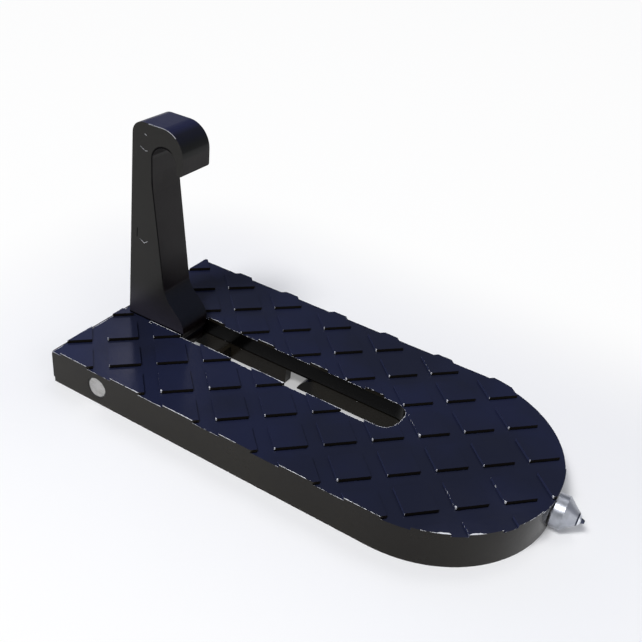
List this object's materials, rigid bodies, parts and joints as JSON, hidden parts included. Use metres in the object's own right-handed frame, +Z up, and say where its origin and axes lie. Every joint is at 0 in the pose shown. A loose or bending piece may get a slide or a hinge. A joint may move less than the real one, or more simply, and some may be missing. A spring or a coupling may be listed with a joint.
{
  "type": "car door step",
  "caption": "Cast tread plate with raised diamond pads that hangs from a car's door striker by a folding hook, with a pointed window hammer on its round end.",
  "frame": {"origin": "middle of the whole length and width, on the plane of the tread plate's underside", "axes": "+X from the square end with the hook towards the window hammer, +Y across the tread along the hinge pin, +Z up from the tread"},
  "size_m": [0.1596, 0.076, 0.079],
  "materials": {
    "plate_paint": "glossy dark navy paint on cast metal, chipped along the edges",
    "hook_paint": "semi-gloss near-black paint",
    "pad_rubber": "matt black rubber",
    "pin_steel": "cut and ground pin ends",
    "hammer_steel": "turned and zinc plated",
    "insert_steel": "dark ground hard metal"
  },
  "bodies": {
    "plate": {"step_plate": "plate_paint", "end_pad": "pad_rubber", "hinge_pin": "pin_steel", "hammer_head": "hammer_steel", "hammer_insert": "insert_steel"},
    "hook": {"hook_arm": "hook_paint"}
  },
  "joints": [
    {"name": "hook_fold", "type": "hinge", "parent": "plate", "child": "hook", "pos_m": [-0.06085, 0, 0.006], "axis": [0, 1, 0], "range_deg": [0, 90]}
  ]
}
